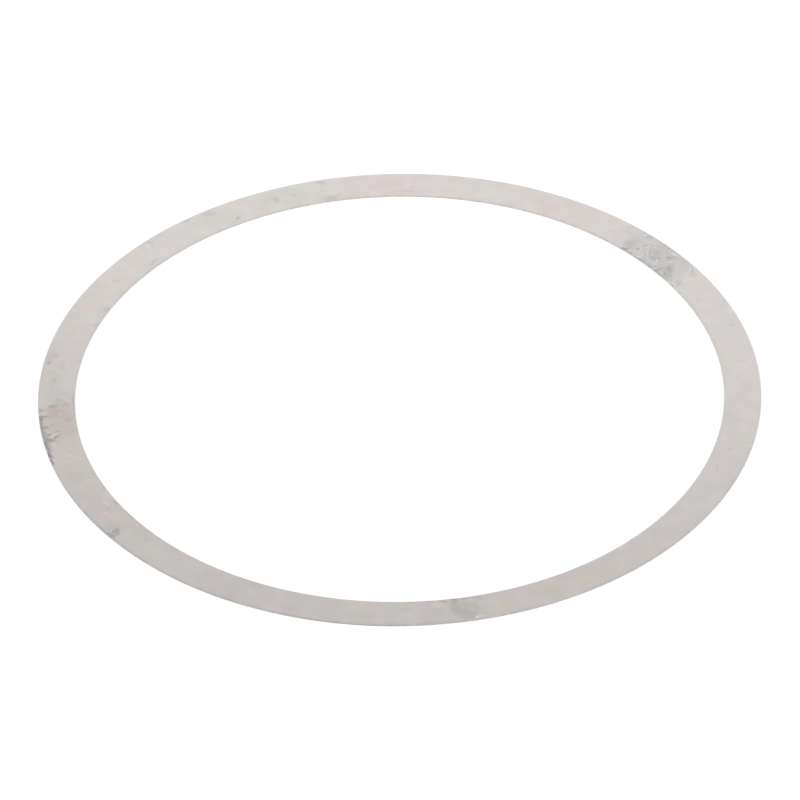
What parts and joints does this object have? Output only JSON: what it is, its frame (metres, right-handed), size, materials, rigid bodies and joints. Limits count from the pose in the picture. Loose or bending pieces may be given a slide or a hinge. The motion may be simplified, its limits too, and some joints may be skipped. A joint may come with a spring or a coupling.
{
  "type": "shim ring",
  "caption": "Thin flat steel shim ring with a large round bore, for setting end play and spacing on a shaft or in a housing.",
  "frame": {"origin": "centre of the ring on its lower face, which is the plane it lies on", "axes": "+Z along the ring's axis, up from the lower face; the ring is the same all round, so +X is any radius"},
  "size_m": [0.098, 0.098, 0.0001],
  "materials": {
    "steel": "satin cold rolled steel, lightly handled"
  },
  "bodies": {
    "root": {"shim_ring": "steel"}
  },
  "joints": []
}
